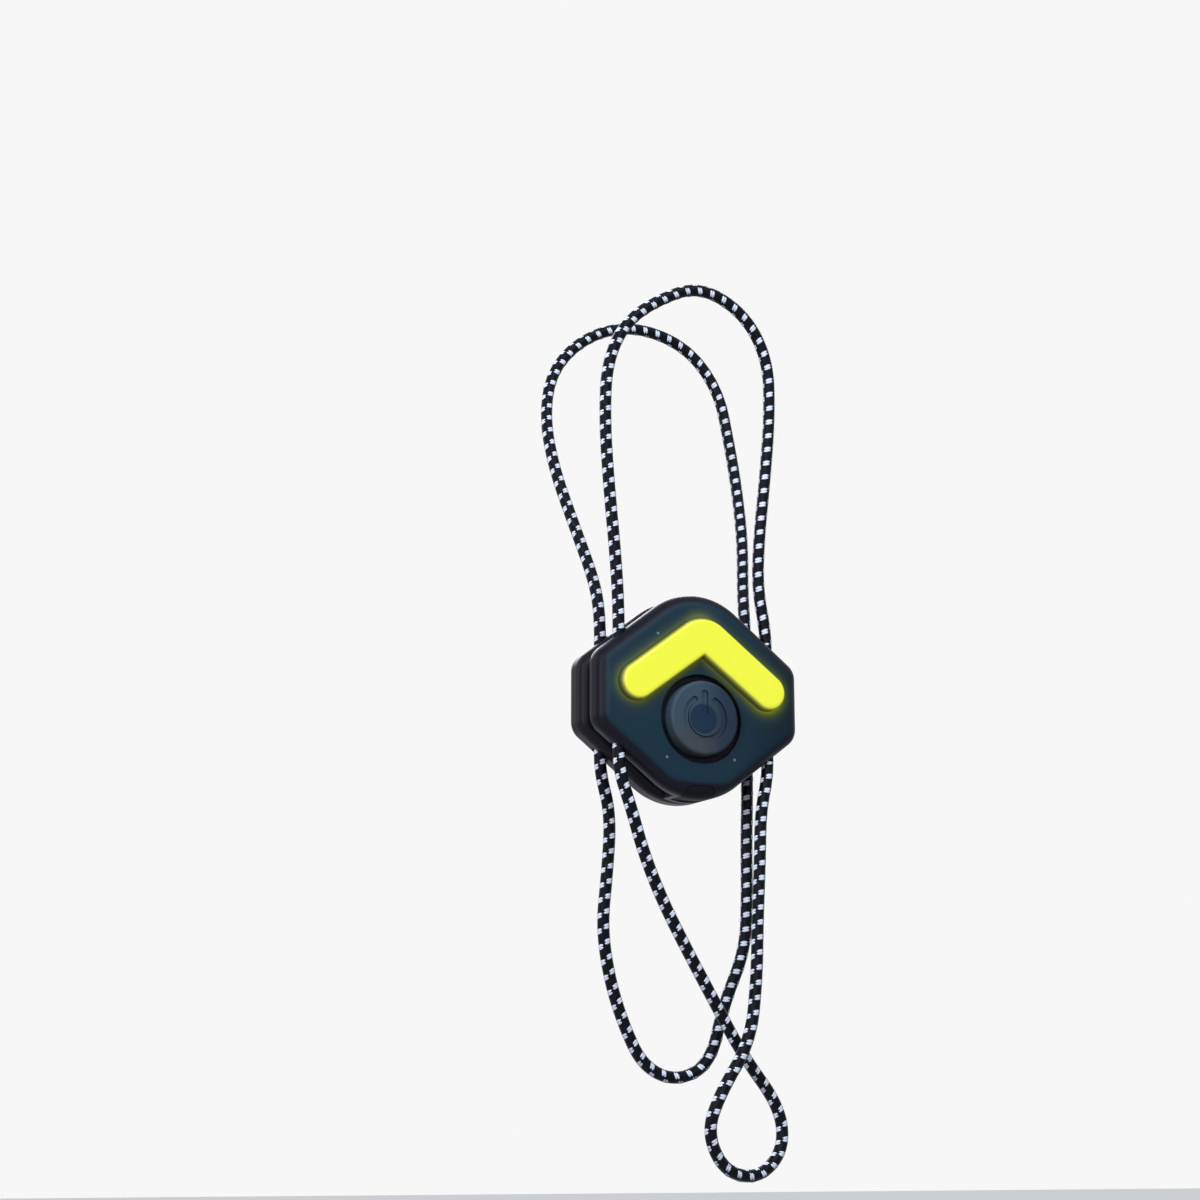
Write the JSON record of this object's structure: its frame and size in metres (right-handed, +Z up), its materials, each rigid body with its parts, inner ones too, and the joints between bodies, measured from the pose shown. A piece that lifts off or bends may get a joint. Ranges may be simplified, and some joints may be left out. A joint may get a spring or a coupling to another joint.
{
  "type": "bicycle turn signal light",
  "caption": "Six-sided clip-free bicycle turn signal: glowing chevron lens over a round power button, two-shell pod hung in closed loops of flecked elastic cord.",
  "frame": {"origin": "on the axis of the handlebar grip that the two cord loops hang from, midway between the loops", "axes": "+X to the right of someone who faces the light, +Y back through the pod from its face, +Z up"},
  "size_m": [0.0589, 0.0392, 0.2276],
  "materials": {
    "front_shell": "dark slate moulded plastic with a fine satin grain",
    "back_shell": "near-black moulded plastic with a fine satin grain",
    "gasket": "black silicone cord, matte",
    "lens": "translucent yellow plastic lit from behind",
    "diffuser": "milky white diffusing plastic",
    "tray": "white reflecting plastic",
    "button": "dark grey silicone, satin",
    "switch": "black moulded plastic",
    "plunger": "tan moulded plastic",
    "board": "green solder mask over glass fibre",
    "led": "clear resin over a yellow chip",
    "chip": "black moulded epoxy",
    "battery": "silver laminate foil pouch",
    "pad": "white double-sided foam tape",
    "connector": "ivory nylon",
    "lead_red": "red silicone insulation",
    "lead_black": "black silicone insulation",
    "socket": "bright plated steel",
    "cover": "soft black rubber, matte",
    "screws": "black oxide steel",
    "board_screws": "bright zinc-plated steel",
    "cord": "black braided cover with white fleck threads over rubber",
    "sleeve": "black shrink sleeve"
  },
  "bodies": {
    "pod": {"front_shell": "front_shell", "back_shell": "back_shell", "seam_gasket": "gasket", "chevron_lens": "lens", "light_diffuser": "diffuser", "light_tray": "tray", "switch_body": "switch", "circuit_board": "board", "chevron_leds": "led", "controller_chip": "chip", "charger_chip": "chip", "inductor": "chip", "chip_resistors": "chip", "battery_cell": "battery", "battery_pad": "pad", "battery_header": "connector", "battery_plug": "connector", "battery_lead_red": "lead_red", "battery_lead_black": "lead_black", "charging_socket": "socket", "case_screws": "screws", "board_screws": "board_screws", "cord_tunnel_front_left": "cord", "cord_tunnel_front_right": "cord", "cord_tunnel_back_left": "cord", "cord_tunnel_back_right": "cord", "cord_sleeve_front": "sleeve", "cord_sleeve_back": "sleeve", "cord_upper_front": "cord", "cord_upper_back": "cord", "cord_lower_front": "cord", "cord_lower_back": "cord"},
    "button": {"button_cap": "button", "switch_plunger": "plunger"},
    "socket_cover": {"port_cover": "cover"}
  },
  "joints": [
    {"name": "button_press", "type": "slide", "parent": "pod", "child": "button", "axis": [0, 1, 0], "range_m": [0, 0.0005], "stiffness_N_per_m": 2000},
    {"name": "cover_swing", "type": "hinge", "parent": "pod", "child": "socket_cover", "pos_m": [0, -0.0117, -0.1097], "axis": [1, 0, 0], "range_deg": [0, 85]}
  ]
}
